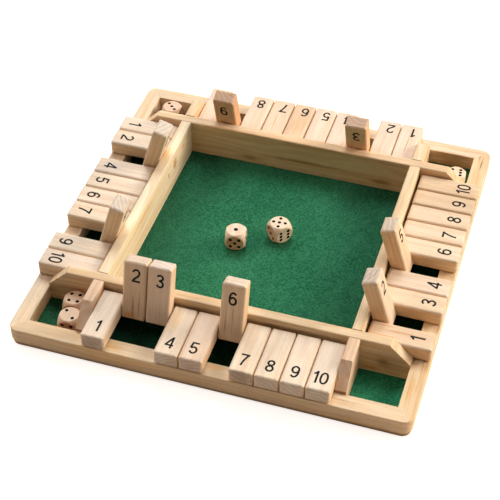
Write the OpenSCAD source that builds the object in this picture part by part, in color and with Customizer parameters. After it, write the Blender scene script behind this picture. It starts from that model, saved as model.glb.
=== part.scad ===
// Four-player shut the box game: a square tray with ten numbered flaps along each side,
// four corner pockets for the dice, and the dice themselves.
// Origin: centre of the board on its underside. +X runs along the front, +Y to the back, +Z up.

/* [Flaps] */
// How many flaps stand along each side
flap_count = 10; // [6:1:12]
// Width of one flap along its rod
flap_w = 18.45; // [16:0.05:22]
// Thickness of a flap
flap_t = 12.4; // [10.5:0.1:13.5]
// Gap between two neighbouring flaps
flap_gap = 0.6; // [0.3:0.1:1.5]
// Gap between a lowered flap's inner end and the inner rail
flap_end_gap = 2; // [1:0.25:4]
// Rounding of a flap's long and short edges
flap_edge_r = 2; // [0.8:0.1:3]
// Rounding of a flap's corners, seen from above
flap_corner_r = 2.5; // [1:0.1:4]

/* [Pivots] */
// Diameter of the steel rod that each row of flaps turns on
rod_d = 3; // [2:0.1:4]
// Clearance all round the rod inside a flap
rod_play = 0.05; // [0.02:0.01:0.1]
// Distance from a flap's inner end to the rod's axis
pivot_inset = 6.75; // [5.5:0.25:9]
// Height of the rod's axis above a flap's underside
pivot_up = 7; // [5:0.1:7.5]
// Depth of the blind hole that holds each end of a rod
rod_bite = 6; // [3:0.25:7.5]

/* [Inner rails] */
// Thickness of the inner rails and of the pocket dividers
rail_t = 8.75; // [8:0.25:14]
// Height of the inner rails above the felt
rail_h = 31.3; // [29:0.1:34]
// Length of the sloped end of a rail or divider, cut at 45 degrees
end_run = 16; // [8:0.5:20]
// Rounding of a rail's upper edges
rail_edge_r = 1.3; // [0.4:0.1:2.5]

/* [Outer frame] */
// Width of the trough between the inner rails and the outer frame
trough_w = 38; // [36:0.5:48]
// Width of an outer frame rail
frame_w = 13; // [11:0.5:20]
// Height of an outer frame rail, without the base board
frame_h = 14; // [12:0.25:15.5]
// Radius of the frame's four corners, seen from above
frame_corner_r = 8; // [5:0.5:10]
// Rounding of the frame's lower outside edge
frame_foot_r = 2.6; // [0.5:0.1:4]
// Rounding of the frame's upper outside edge
frame_top_r = 0.8; // [0.3:0.1:2]

/* [Base] */
// Thickness of the base board
base_t = 2.5; // [2:0.1:4]
// How far the base board's edge lies inside the frame's outside face
base_inset = 1.2; // [0.5:0.1:3]
// Thickness of the felt on the base board
felt_t = 1.2; // [0.6:0.1:2]

/* [Dice] */
// Size of a die across its flat faces
die_w = 16; // [12:0.25:16]
// Diameter of the ball that rounds off a die's edges and corners
die_ball_d = 21.6; // [21:0.1:24]
// Distance of the outer pips from the middle of a face
pip_pitch = 3.4; // [2.6:0.1:3.8]
// Diameter of a pip
pip_d = 2.6; // [1.8:0.1:3]
// Diameter of the single pip on the one
one_pip_d = 3.4; // [2.4:0.1:4]
// Depth of the pips
pip_depth = 0.5; // [0.2:0.05:0.9]

/* [Fits] */
// Gap left under a piece that rests on another
rest_gap = 0.3; // [0.1:0.05:0.6]
// Gap left between a leaning flap and the edge of the inner rail
lean_gap = 0.1; // [0.05:0.05:0.5]

/* [Hidden] */
// Names of the four sides, each a quarter turn on from the one before
SIDES = ["front", "right", "back", "left"];
// Flaps that stand up on each side, counted from its left as seen from outside
UP = [[2, 3, 6], [2, 5], [3, 9], [3, 8]];
// Where dice lie: the tray, then the four corner pockets
POCKETS = [[0, 0], [-1, -1], [1, -1], [1, 1], [-1, 1]];
// Dice: name, pocket, place, steps out from a die beside it, roll that brings its top face up,
// turn about the vertical. A place runs from -1 to 1 over the tray or over a pocket's room.
DICE = [
    ["die_tray_left", 0, [-0.24, -0.0535], 0, [0, 0, 180], 9.6],
    ["die_tray_right", 0, [0.085, 0.1375], 0, [90, 0, 180], 48],
    ["die_front_left_inner", 1, [0.58, 0.92], 0, [0, 90, 0], 3.5],
    ["die_front_left_outer", 1, [0.875, 0.92], 1, [-90, 0, 0], 3.2],
    ["die_back_left", 4, [-0.257, 0.589], 0, [0, -90, 0], 2.3],
    ["die_back_right", 3, [0.827, -0.7], 0, [0, 180, 0], 6],
];
FLAP_NAMES = [for (s = SIDES, i = [1:flap_count]) str(s, "_flap_", i)];
FRAME_NAMES = [for (s = SIDES) str("frame_", s)];
RAIL_NAMES = [for (s = SIDES) str("rail_", s)];
DIE_NAMES = [for (d = DICE) d[0]];

// Plan, measured from the middle of the board
flap_pitch = flap_w + flap_gap;
tray_half = flap_count * flap_pitch / 2;
rail_out = tray_half + rail_t;
frame_in = rail_out + trough_w;
board_half = frame_in + frame_w;
pocket_mid = rail_out + trough_w / 2;
rod_y = rail_out + flap_end_gap + pivot_inset;
flap_len = board_half - rail_out - flap_end_gap;

// Heights above the table
felt_top = base_t + felt_t;
frame_top = base_t + frame_h;
rail_top = felt_top + rail_h;
rod_z = frame_top + rest_gap + pivot_up;

// A raised flap leans in until its inward face rests on the rounded edge of the inner rail
edge_across = rod_y - rail_out + rail_edge_r;
edge_above = rail_top - rail_edge_r - rod_z;
edge_reach = flap_t - pivot_up + lean_gap + rail_edge_r;
lean_angle = acos(edge_reach / norm([edge_across, edge_above])) - atan2(edge_above, edge_across);
raise_angle = 90 + lean_angle;

// Room that a die has in a pocket: a turned die needs a little more than its own width
die_turned = 1.06;
die_room = trough_w / 2 - die_w * die_turned / 2;

// Step between two dice side by side in a pocket, from nearly touching (0) to evenly spread (1)
die_close = 1.012;
die_spread = 0.36;
die_step = (1 - die_spread) * die_close * die_w + die_spread * trough_w / 2;

// How far a cutter runs past the face that it cuts
past = 1;
$fn = 64;

function quarter(side) = [0, 0, 90 * side];
function is_up(side, i) = len(search(i, UP[side])) > 0;

// Rectangle w by h around the middle, with corners of radius r
module rounded_rect(w, h, r) {
    square([w, h - 2 * r], center = true);
    square([w - 2 * r, h], center = true);
    for (x = [-1, 1], y = [-1, 1])
        translate([x * (w / 2 - r), y * (h / 2 - r)]) circle(r);
}

// Runs a profile drawn in Y and Z along X, around the middle
module along_x(length) {
    rotate([90, 0, 90]) linear_extrude(length, center = true) children();
}

// Cross-section of a frame rail, "depth" wide from its inner side, outer side at +X
module frame_profile(depth) {
    translate([0, frame_foot_r]) square([depth, frame_h - frame_foot_r - frame_top_r]);
    square([depth - frame_foot_r, frame_foot_r]);
    translate([depth - frame_foot_r, frame_foot_r]) circle(frame_foot_r);
    translate([0, frame_h - frame_top_r]) square([depth - frame_top_r, frame_top_r]);
    translate([depth - frame_top_r, frame_h - frame_top_r]) circle(frame_top_r);
}

// One rail of the outer frame, mitred at both ends, with half of each rounded corner
module frame_rail(side) {
    corner_at = board_half - frame_corner_r;
    color("burlywood") rotate(quarter(side)) translate([0, 0, base_t]) {
        intersection() {
            translate([0, -frame_in, 0]) along_x(2 * corner_at) mirror([1, 0]) frame_profile(frame_w);
            linear_extrude(frame_h)
                polygon([[0, 0], [-board_half, -board_half], [board_half, -board_half]]);
        }
        translate([-corner_at, -corner_at, 0])
            rotate([0, 0, 225]) rotate_extrude(angle = 45) frame_profile(frame_corner_r);
        translate([corner_at, -corner_at, 0])
            rotate([0, 0, 270]) rotate_extrude(angle = 45) frame_profile(frame_corner_r);
    }
}

// Board under everything, set in from the frame's outside face
module base_board() {
    width = 2 * (board_half - base_inset);
    color("tan") linear_extrude(base_t) rounded_rect(width, width, frame_corner_r - base_inset);
}

// Felt over the whole floor inside the outer frame
module felt_sheet() {
    color("darkgreen") translate([0, 0, base_t]) linear_extrude(felt_t)
        square(2 * frame_in, center = true);
}

// Cross-section of an inner rail or divider: flat foot, rounded upper edges, around Y = 0
module rail_profile() {
    square_h = rail_h - rail_edge_r;
    translate([-rail_t / 2, 0]) square([rail_t, square_h]);
    translate([-rail_t / 2 + rail_edge_r, 0]) square([rail_t - 2 * rail_edge_r, rail_h]);
    for (y = [-1, 1]) translate([y * (rail_t / 2 - rail_edge_r), square_h]) circle(rail_edge_r);
}

// Blind hole along +X for the end of a pivot rod, from the face at X = 0
module rod_hole() {
    translate([-past, 0, 0]) rotate([0, 90, 0])
        cylinder(d = rod_d + 2 * rod_play, h = past + rod_bite + rest_gap);
}

// Front or back rail: it runs through to the outer frame, slopes down at both ends,
// and takes one end of the left and of the right pivot rod
module through_rail(side) {
    shoulder = rail_h - end_run;
    color("wheat") rotate(quarter(side)) difference() {
        translate([0, -tray_half - rail_t / 2, felt_top]) intersection() {
            along_x(2 * frame_in) rail_profile();
            rotate([90, 0, 0]) linear_extrude(rail_t, center = true) polygon([
                [-frame_in, 0], [frame_in, 0], [frame_in, shoulder],
                [frame_in - end_run, rail_h], [end_run - frame_in, rail_h], [-frame_in, shoulder]]);
        }
        for (x = [-1, 1]) translate([x * rod_y, -tray_half, rod_z]) rotate([0, 0, -90]) rod_hole();
    }
}

// Left or right rail: it butts between the front and back rails
module butt_rail(side) {
    color("wheat") rotate(quarter(side)) translate([0, -tray_half - rail_t / 2, felt_top])
        along_x(2 * tray_half) rail_profile();
}

// Short wall between a row of flaps and a corner pocket, at the +X end of the front row
module divider() {
    shoulder = rail_h - end_run;
    difference() {
        translate([tray_half + rail_t / 2, -pocket_mid, felt_top]) intersection() {
            rotate([0, 0, 90]) along_x(trough_w) rail_profile();
            along_x(rail_t) polygon([
                [-trough_w / 2, 0], [trough_w / 2, 0], [trough_w / 2, rail_h],
                [end_run - trough_w / 2, rail_h], [-trough_w / 2, shoulder]]);
        }
        translate([tray_half, -rod_y, rod_z]) rod_hole();
    }
}

// The two dividers of the front or back row, in line with the left and right rails
module dividers(side) {
    color("wheat") rotate(quarter(side)) for (x = [0, 1]) mirror([x, 0, 0]) divider();
}

// Four rods, one under each row of flaps, held in the dividers and in the through rails
module pivot_rods() {
    color("silver") for (side = [0:3]) rotate(quarter(side)) translate([0, -rod_y, rod_z])
        rotate([0, 90, 0]) cylinder(d = rod_d, h = 2 * (tray_half + rod_bite), center = true);
}

// One flap around its rod's axis, lying flat with its outer end towards -Y
module flap_block() {
    mid_y = pivot_inset - flap_len / 2;
    mid_z = flap_t / 2 - pivot_up;
    difference() {
        translate([0, mid_y, mid_z]) intersection() {
            along_x(flap_w) rounded_rect(flap_len, flap_t, flap_edge_r);
            rotate([90, 0, 0]) linear_extrude(flap_len, center = true)
                rounded_rect(flap_w, flap_t, flap_edge_r);
            linear_extrude(flap_t, center = true) rounded_rect(flap_w, flap_len, flap_corner_r);
        }
        rotate([0, 90, 0]) cylinder(d = rod_d + 2 * rod_play, h = flap_w + 2 * past, center = true);
    }
}

// Flap number i of a side, lying on the outer frame or leaning on the inner rail
module flap(side, i) {
    along = (i - (flap_count + 1) / 2) * flap_pitch;
    color("moccasin") rotate(quarter(side)) translate([along, -rod_y, rod_z])
        rotate([is_up(side, i) ? -raise_angle : 0, 0, 0]) flap_block();
}

// Places of the pips on a face, in steps of the pip pitch
function pips(n) =
    n == 1 ? [[0, 0]] :
    n == 2 ? [[-1, 1], [1, -1]] :
    n == 3 ? [[-1, -1], [0, 0], [1, 1]] :
    n == 4 ? [[-1, -1], [-1, 1], [1, -1], [1, 1]] :
    n == 5 ? [[-1, -1], [-1, 1], [1, -1], [1, 1], [0, 0]] :
    [for (x = [-1, 1], y = [-1, 0, 1]) [x, y]];

// Ball-shaped cutters for the pips of the upper face
module pip_cutters(n) {
    d = n == 1 ? one_pip_d : pip_d;
    ball_r = (d * d / 4 + pip_depth * pip_depth) / (2 * pip_depth);
    for (p = pips(n)) translate([p[0] * pip_pitch, p[1] * pip_pitch, die_w / 2 - pip_depth + ball_r])
        sphere(ball_r);
}

// Die around its middle: one on top, two in front, three to the right
module die_block() {
    difference() {
        intersection() {
            cube(die_w, center = true);
            sphere(d = die_ball_d);
        }
        pip_cutters(1);
        rotate([90, 0, 0]) pip_cutters(2);
        rotate([0, 90, 0]) rotate([0, 0, 90]) pip_cutters(3);
        rotate([0, -90, 0]) pip_cutters(4);
        rotate([-90, 0, 0]) pip_cutters(5);
        rotate([180, 0, 0]) pip_cutters(6);
    }
}

// A die of the list, lying on the felt in the tray or in its pocket
module die(d) {
    pocket = POCKETS[d[1]];
    room = d[1] == 0 ? tray_half : die_room;
    place = pocket * pocket_mid + d[2] * room + [0, pocket[1] * d[3] * die_step];
    color("navajowhite") translate([place[0], place[1], felt_top + rest_gap + die_w / 2])
        rotate([0, 0, d[5]]) rotate(d[4]) die_block();
}

base_board();
felt_sheet();
for (side = [0:3]) frame_rail(side);
for (side = [0, 2]) through_rail(side);
for (side = [1, 3]) butt_rail(side);
dividers(0);  // front_dividers
dividers(2);  // back_dividers
pivot_rods();
for (side = [0:3], i = [1:flap_count])
    flap(side, i);
for (d = DICE) die(d);
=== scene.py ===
"""Looks of a four-player shut the box board: pale wood, green felt, steel rods and numerals.

Every size is in metres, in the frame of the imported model: origin at the centre of the board on its
underside, +X along the front edge, +Y to the back and +Z up.
"""

import logging
import math
import random
from collections.abc import Iterable, Sequence
from dataclasses import dataclass, field
from enum import Enum, IntEnum
from typing import ClassVar

import bpy
import numpy as np
from mathutils import Euler, Matrix, Vector
from mathutils.geometry import delaunay_2d_cdt


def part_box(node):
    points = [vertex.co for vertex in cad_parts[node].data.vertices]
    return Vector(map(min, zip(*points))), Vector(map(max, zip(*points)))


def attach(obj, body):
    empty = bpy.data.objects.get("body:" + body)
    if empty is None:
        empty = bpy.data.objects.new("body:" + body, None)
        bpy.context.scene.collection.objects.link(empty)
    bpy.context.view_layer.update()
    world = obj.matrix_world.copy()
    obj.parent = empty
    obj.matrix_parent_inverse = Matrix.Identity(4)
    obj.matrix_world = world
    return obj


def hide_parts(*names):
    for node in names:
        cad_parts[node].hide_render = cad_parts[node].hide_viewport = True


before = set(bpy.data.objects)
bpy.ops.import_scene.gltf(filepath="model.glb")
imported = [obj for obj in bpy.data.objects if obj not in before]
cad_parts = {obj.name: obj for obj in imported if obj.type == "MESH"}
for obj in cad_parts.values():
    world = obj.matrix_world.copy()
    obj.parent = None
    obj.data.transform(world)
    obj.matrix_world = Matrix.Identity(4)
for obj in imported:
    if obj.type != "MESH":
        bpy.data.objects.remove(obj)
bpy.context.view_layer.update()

log = logging.getLogger("board")

Colour = tuple[float, float, float]
Point2 = tuple[float, float]
Point3 = tuple[float, float, float]
Shape = tuple[list[Vector], list[list[int]]]
Socket = bpy.types.NodeSocket
Value = float | Sequence[float] | Socket

PLAIN: Colour = (1.0, 1.0, 1.0)
BOARD = "board"


class Side(IntEnum):
    """The four sides of the board, each a quarter turn on from the one before."""

    FRONT = 0
    RIGHT = 1
    BACK = 2
    LEFT = 3

    @property
    def label(self) -> str:
        """The side's name as the nodes have it."""
        return self.name.lower()

    @property
    def turn(self) -> Matrix:
        """Quarter turns that bring the front side to this one."""
        return Matrix.Rotation(math.radians(90 * self.value), 4, "Z")


class Face(Enum):
    """The two faces of a flap that carry its numeral."""

    UPPER = 1
    UNDER = -1


# ---------------------------------------------------------------- sizes


@dataclass(frozen=True)
class BoardSizes:
    """The board's main sizes, as the model has them.

    Attributes:
        flaps: How many flaps a row has.
        flap_pitch: Distance from one flap to the next.
        flap_w: Width of a flap, along its row.
        flap_t: Its thickness.
        flap_len: Its length.
        rod_y: How far out from the board's middle a rod lies.
        rod_z: Its height.
        pivot_up: Height of a flap's bore above the flap's under face.
        pivot_inset: Distance of the bore from the flap's inner end.
        raised_turn: Turn from lying to leaning on the inner rail.
        floor_half: Half the width of the floor inside the frame.
        felt_low: Height of the felt's under side.
        felt_high: Height of its upper side.
        base_t: Thickness of the base board.
        die_w: Width of a die.
        raised: Numbers of the flaps that stand, one group for each side.
    """

    flaps: int = 10
    flap_pitch: float = 0.01905
    flap_w: float = 0.01845
    flap_t: float = 0.0124
    flap_len: float = 0.049
    rod_y: float = 0.11275
    rod_z: float = 0.0238
    pivot_up: float = 0.007
    pivot_inset: float = 0.00675
    raised_turn: float = math.radians(106.613)
    floor_half: float = 0.142
    felt_low: float = 0.0025
    felt_high: float = 0.0037
    base_t: float = 0.0025
    die_w: float = 0.016
    raised: tuple[tuple[int, ...], ...] = ((2, 3, 6), (2, 5), (3, 9), (3, 8))

    def flap_place(self, side: Side, number: int) -> Matrix:
        """Where a flap's own frame lies at rest: rod along X, outer end towards -Y.

        Args:
            side: The row that the flap is in.
            number: The flap's number, from 1.

        Returns:
            The 4 by 4 matrix from the flap's frame to the board's.
        """
        along = (number - (self.flaps + 1) / 2) * self.flap_pitch
        turn = -self.raised_turn if number in self.raised[side] else 0.0
        return (side.turn @ Matrix.Translation((along, -self.rod_y, self.rod_z))
                @ Matrix.Rotation(turn, 4, "X"))


SIZES = BoardSizes()


# ---------------------------------------------------------------- materials


@dataclass(frozen=True)
class Pattern:
    """A soft random pattern.

    Attributes:
        scale: How fine it is, the same all ways or along X, Y and Z.
        detail: How many finer layers lie over it.
        roughness: How strong those layers are.
    """

    scale: float | Point3
    detail: float = 2.0
    roughness: float = 0.5


class NodeSheet:
    """One material's node tree, with short ways to add and join its nodes."""

    def __init__(self, name: str) -> None:
        """Starts an empty tree with one main shader.

        Args:
            name: The material's name.
        """
        self.material = bpy.data.materials.new(name)
        self.material.use_nodes = True
        self.tree = self.material.node_tree
        self.tree.nodes.clear()
        self.shader = self.tree.nodes.new("ShaderNodeBsdfPrincipled")
        output = self.tree.nodes.new("ShaderNodeOutputMaterial")
        self.result = output.inputs["Surface"]
        self.put(self.result, self.shader.outputs[0])

    def put(self, socket: Socket, value: Value) -> None:
        """Links a socket to another one, or sets its own value.

        Args:
            socket: The input.
            value: What goes into it. A colour of three numbers is made opaque.
        """
        if isinstance(value, Socket):
            self.tree.links.new(value, socket)
        elif isinstance(value, (int, float)):
            socket.default_value = value
        else:
            wanted = len(socket.default_value)
            socket.default_value = (*value, 1.0)[:wanted] if len(value) < wanted else tuple(value)

    def surface(self, name: str, value: Value) -> None:
        """Sets one input of the main shader."""
        self.put(self.shader.inputs[name], value)

    def add(self, kind: str, inputs: dict[int | str, Value], **settings: object) -> bpy.types.Node:
        """Adds a node.

        Args:
            kind: The node's type name.
            inputs: Values or sockets by input name or number.
            **settings: Properties of the node.

        Returns:
            The new node.
        """
        node = self.tree.nodes.new(kind)
        for name, value in settings.items():
            setattr(node, name, value)
        for key, value in inputs.items():
            self.put(node.inputs[key], value)
        return node

    def math(self, operation: str, a: Value, b: Value = 0.0) -> Socket:
        """Works out one sum of two values."""
        return self.add("ShaderNodeMath", {0: a, 1: b}, operation=operation).outputs[0]

    def plus(self, a: Value, b: Value) -> Socket:
        """Adds two values."""
        return self.math("ADD", a, b)

    def times(self, a: Value, b: Value) -> Socket:
        """Multiplies two values."""
        return self.math("MULTIPLY", a, b)

    def vector(self, operation: str, a: Value, b: Value) -> Socket:
        """Works out one vector sum."""
        node = self.add("ShaderNodeVectorMath", {0: a, 1: b}, operation=operation)
        return node.outputs["Value" if operation in ("DOT_PRODUCT", "LENGTH") else "Vector"]

    def split(self, at: Socket) -> tuple[Socket, ...]:
        """Takes a place apart into X, Y and Z."""
        return tuple(self.add("ShaderNodeSeparateXYZ", {0: at}).outputs)

    def grey(self, value: Socket) -> Socket:
        """A grey as light as a value."""
        return self.add("ShaderNodeCombineXYZ", {0: value, 1: value, 2: value}).outputs[0]

    def remap(self, value: Value, low: float, high: float, to_low: float = 0.0,
              to_high: float = 1.0) -> Socket:
        """Maps a range of a value smoothly onto another range, held at both ends."""
        node = self.add("ShaderNodeMapRange", {0: value, 1: low, 2: high, 3: to_low, 4: to_high},
                        interpolation_type="SMOOTHSTEP")
        return node.outputs[0]

    def mix(self, share: Value, a: Value, b: Value, blend: str = "MIX") -> Socket:
        """Mixes two colours."""
        node = self.add("ShaderNodeMix", {0: share, 6: a, 7: b}, data_type="RGBA", blend_type=blend)
        return node.outputs[2]

    def tint(self, colour: Value, tone: Value, share: Value = 1.0) -> Socket:
        """Multiplies a colour by a tone, fully or by a share."""
        return self.mix(share, colour, tone, "MULTIPLY")

    def noise(self, at: Socket, pattern: Pattern) -> Socket:
        """A soft random value round 0.5 at each place.

        Args:
            at: The places.
            pattern: How the value changes from place to place.

        Returns:
            The socket that gives the value.
        """
        scale = pattern.scale
        if isinstance(scale, tuple):
            at, scale = self.vector("MULTIPLY", at, scale), 1.0
        node = self.add("ShaderNodeTexNoise", {"Vector": at, "Scale": scale,
                                               "Detail": pattern.detail,
                                               "Roughness": pattern.roughness})
        return node.outputs[0]

    def coordinates(self, place: Matrix | None = None) -> Socket:
        """Places on the piece, measured in a frame of its own.

        Args:
            place: Matrix from that frame to the board's, or None for the board's own.

        Returns:
            The socket that gives the place.
        """
        given = self.add("ShaderNodeTexCoord", {}).outputs["Object"]
        if place is None:
            return given
        node = self.add("ShaderNodeMapping", {"Vector": given, "Location": place.to_translation(),
                                              "Rotation": tuple(place.to_euler())},
                        vector_type="TEXTURE")
        return node.outputs[0]

    def facing(self, direction: Vector) -> Socket:
        """How squarely the surface faces along a direction or against it, from 0 to 1."""
        normal = self.add("ShaderNodeTexCoord", {}).outputs["Normal"]
        return self.math("ABSOLUTE", self.vector("DOT_PRODUCT", normal, tuple(direction)))

    def bump(self, height: Socket, distance: float, strength: float) -> None:
        """Gives the main shader relief from a height."""
        node = self.add("ShaderNodeBump", {"Height": height, "Distance": distance,
                                           "Strength": strength})
        self.surface("Normal", node.outputs[0])


@dataclass(frozen=True)
class Mark:
    """A resin streak, knot shadow or warm blotch on a piece, or a patch of painted shade.

    Attributes:
        at: Its middle, in the piece's own frame.
        reach: Its half sizes along, across and through the grain.
        tone: What it multiplies the wood's colour by where it is full.
    """

    FRAYS: ClassVar[Pattern] = Pattern((90, 500, 500), 3.0)

    at: Point3
    reach: Point3
    tone: Colour

    def lay(self, sheet: NodeSheet, colour: Socket, at: Socket, moved: Socket) -> Socket:
        """Lays the mark over a colour, with an edge that the grain frays.

        Args:
            sheet: The material being made.
            colour: The colour under the mark.
            at: Places in the piece's frame.
            moved: The same places, shifted by the piece's seed.

        Returns:
            The colour with the mark on it.
        """
        away = sheet.vector("DIVIDE", sheet.vector("SUBTRACT", at, self.at), self.reach)
        fray = sheet.noise(moved, self.FRAYS)
        distance = sheet.plus(sheet.vector("LENGTH", away, (0, 0, 0)), fray)
        return sheet.tint(colour, self.tone, sheet.remap(distance, 0.6, 1.5, 1.0, 0.0))


@dataclass(frozen=True)
class Grain:
    """How a piece was cut from its board.

    Attributes:
        place: Frame of the piece: grain along X, growth rings round an axis along X.
        heart: Where the middle of the tree lies across the grain, in Y and Z.
        seed: Shifts every random pattern, so that no two pieces match.
        tone: What this piece's colour is multiplied by, beside the others.
        half: Half sizes of a block whose edges are rubbed, or None.
        marks: Its streaks, blotches and patches of painted shade.
    """

    place: Matrix
    heart: Point2
    seed: float
    tone: Colour = PLAIN
    # half: Half sizes of a block whose edges are darkened, partly as wear and partly as painted
    # shade, or None.
    half: Point3 | None = None
    marks: tuple[Mark, ...] = ()

    def squareness(self, sheet: NodeSheet, axis: Point3) -> Socket:
        """How far a place lies on a face that is square to one of the piece's axes, from 0 to 1."""
        return sheet.remap(sheet.facing(self.place.to_3x3() @ Vector(axis)), 0.72, 0.95)


@dataclass(frozen=True)
class WoodFinish:
    """Pale wood, sanded and lightly waxed.

    Attributes:
        name: The material slot.
        early: Colour of the slow, pale part of a growth ring.
        late: Colour of its dark part.
        end_tone: What the colour is multiplied by on cut ends.
        side_tone: What it is multiplied by on the narrow long faces of a block.
        ring_pitch: Distance between growth rings.
        ring_strength: How dark the rings are on the long faces, from 0 to 1.
        wander: How far the rings stray.
        streak_strength: How dark the broad streaks along the grain are.
        fleck_strength: How dark the short pore flecks are.
        honey: What the colour is multiplied by in the warm streaks.
        honey_strength: How strong the warm streaks are.
        roughness: Mean roughness.
    """

    FIBRES: ClassVar[Pattern] = Pattern((35, 1100, 1100), 3.0, 0.6)
    STREAKS: ClassVar[Pattern] = Pattern((7, 150, 150), 3.0, 0.6)
    CLOUDS: ClassVar[Pattern] = Pattern((18, 60, 60), 2.0, 0.6)
    WARM_STREAKS: ClassVar[Pattern] = Pattern((11, 130, 130), 2.0, 0.6)
    FLECKS: ClassVar[Pattern] = Pattern((230, 2300, 2300), 1.0, 0.6)
    RING_BENDS: ClassVar[Pattern] = Pattern((9, 50, 50), 2.0, 0.4)
    RING_RIPPLES: ClassVar[Pattern] = Pattern((30, 260, 260))
    RING_PACE: ClassVar[Pattern] = Pattern((3, 90, 90), 1.0)
    END_RING_TONE: ClassVar[Colour] = (0.94, 0.93, 0.93)
    GLOSS: ClassVar[float] = 0.14

    name: str
    early: Colour
    late: Colour
    end_tone: Colour
    side_tone: Colour = PLAIN
    ring_pitch: float = 0.0038
    ring_strength: float = 0.3
    wander: float = 0.006
    streak_strength: float = 0.4
    fleck_strength: float = 0.25
    honey: Colour = (1.0, 0.84, 0.58)
    honey_strength: float = 0.35
    roughness: float = 0.55

    def dress(self, piece: bpy.types.Object, grain: Grain) -> None:
        """Gives a piece this wood, cut as its grain says.

        Args:
            piece: The mesh to dress.
            grain: How the piece was cut.
        """
        sheet = NodeSheet(f"{self.name}_{piece.name}")
        at = sheet.coordinates(grain.place)
        moved = sheet.vector("ADD", at, (grain.seed, 1.7 * grain.seed, -0.9 * grain.seed))
        rings = self._rings(sheet, at, moved, grain)
        fibre = sheet.noise(moved, self.FIBRES)
        streak = sheet.noise(moved, self.STREAKS)
        colour = self._colour(sheet, moved, rings, streak, grain)
        for mark in grain.marks:
            colour = mark.lay(sheet, colour, at, moved)
        light = self._light(sheet, moved, fibre)
        if grain.half:
            colour = sheet.tint(colour, self.side_tone, grain.squareness(sheet, (0, 1, 0)))
            # The edges are darkened partly as wear and partly as painted shade along the gaps.
            edge_wear_and_shade = sheet.times(self._edges(sheet, at, grain.half),
                                 sheet.remap(streak, 0.3, 0.7, 0.04, 0.14))
            light = sheet.times(light, sheet.math("SUBTRACT", 1.0, edge_wear_and_shade))
        sheet.surface("Base Color", sheet.tint(colour, sheet.grey(light)))
        sheet.surface("Roughness", sheet.remap(fibre, 0.2, 0.8, self.roughness - 0.06,
                                               self.roughness + 0.14))
        sheet.surface("Specular IOR Level", self.GLOSS)
        sheet.bump(sheet.plus(sheet.times(rings, 0.25), fibre), 0.00006, 0.6)
        paint(piece, sheet.material)

    def _colour(self, sheet: NodeSheet, moved: Socket, rings: Socket, streak: Socket,
                grain: Grain) -> Socket:
        """The wood's colour before its marks.

        Args:
            sheet: The material being made.
            moved: Places in the piece's frame, shifted by its seed.
            rings: The share of late wood.
            streak: The broad streaks.
            grain: How the piece was cut.

        Returns:
            The colour.
        """
        end = grain.squareness(sheet, (1, 0, 0))
        share = sheet.remap(end, 0.0, 1.0, self.ring_strength, min(1.0, 1.5 * self.ring_strength))
        colour = sheet.mix(sheet.times(rings, share), self.early, self.late)
        colour = sheet.mix(sheet.remap(streak, 0.42, 0.78, 0.0, self.streak_strength), colour,
                           self.late)
        colour = sheet.tint(colour, grain.tone)
        warm = sheet.noise(moved, self.WARM_STREAKS)
        colour = sheet.tint(colour, self.honey, sheet.remap(warm, 0.45, 0.75, 0.0,
                                                            self.honey_strength))
        colour = sheet.tint(colour, self.end_tone, end)
        return sheet.tint(colour, self.END_RING_TONE, sheet.times(end, rings))

    def _light(self, sheet: NodeSheet, moved: Socket, fibre: Socket) -> Socket:
        """How light the wood is from its fibres, clouds and pores.

        Args:
            sheet: The material being made.
            moved: Places in the piece's frame, shifted by its seed.
            fibre: The fine fibres.

        Returns:
            What the colour's lightness is multiplied by, round 1.
        """
        light = sheet.remap(fibre, 0.25, 0.75, 0.91, 1.05)
        cloud = sheet.remap(sheet.noise(moved, self.CLOUDS), 0.3, 0.7, 0.93, 1.05)
        pores = sheet.remap(sheet.noise(moved, self.FLECKS), 0.64, 0.76, 1.0,
                            1.0 - self.fleck_strength)
        return sheet.times(sheet.times(light, cloud), pores)

    def _rings(self, sheet: NodeSheet, at: Socket, moved: Socket, grain: Grain) -> Socket:
        """Growth rings round the tree's heart: slow pale wood that ends in a thin dark line.

        Args:
            sheet: The material being made.
            at: Places in the piece's frame.
            moved: The same places, shifted by the piece's seed.
            grain: How the piece was cut.

        Returns:
            The share of late wood at each place, from 0 to 1.
        """
        across, up = (sheet.plus(axis, heart)
                      for axis, heart in zip(sheet.split(at)[1:], grain.heart))
        radius = sheet.math("SQRT", sheet.plus(sheet.times(across, across), sheet.times(up, up)))
        for pattern, reach in ((self.RING_BENDS, 2 * self.wander),
                               (self.RING_RIPPLES, 0.15 * self.wander),
                               (self.RING_PACE, self.ring_pitch)):
            radius = sheet.plus(radius, sheet.times(sheet.noise(moved, pattern), reach))
        phase = sheet.math("FRACT", sheet.math("DIVIDE", radius, self.ring_pitch))
        return sheet.times(sheet.remap(phase, 0.1, 0.8), sheet.remap(phase, 0.82, 1.0, 1.0, 0.0))

    @staticmethod
    def _edges(sheet: NodeSheet, at: Socket, half: Point3) -> Socket:
        """How near a place is to an edge of its block.

        Args:
            sheet: The material being made.
            at: Places in the piece's frame.
            half: Half sizes of the block.

        Returns:
            The nearness, from 0 to 1 at the edge itself.
        """
        along, across, up = (sheet.math("SUBTRACT", reach, sheet.math("ABSOLUTE", axis))
                             for reach, axis in zip(half, sheet.split(at)))
        low = sheet.math("MINIMUM", across, up)
        high = sheet.math("MAXIMUM", across, up)
        second = sheet.math("MAXIMUM", low, sheet.math("MINIMUM", high, along))
        return sheet.remap(second, 0.0004, 0.0018, 1.0, 0.0)


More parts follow.
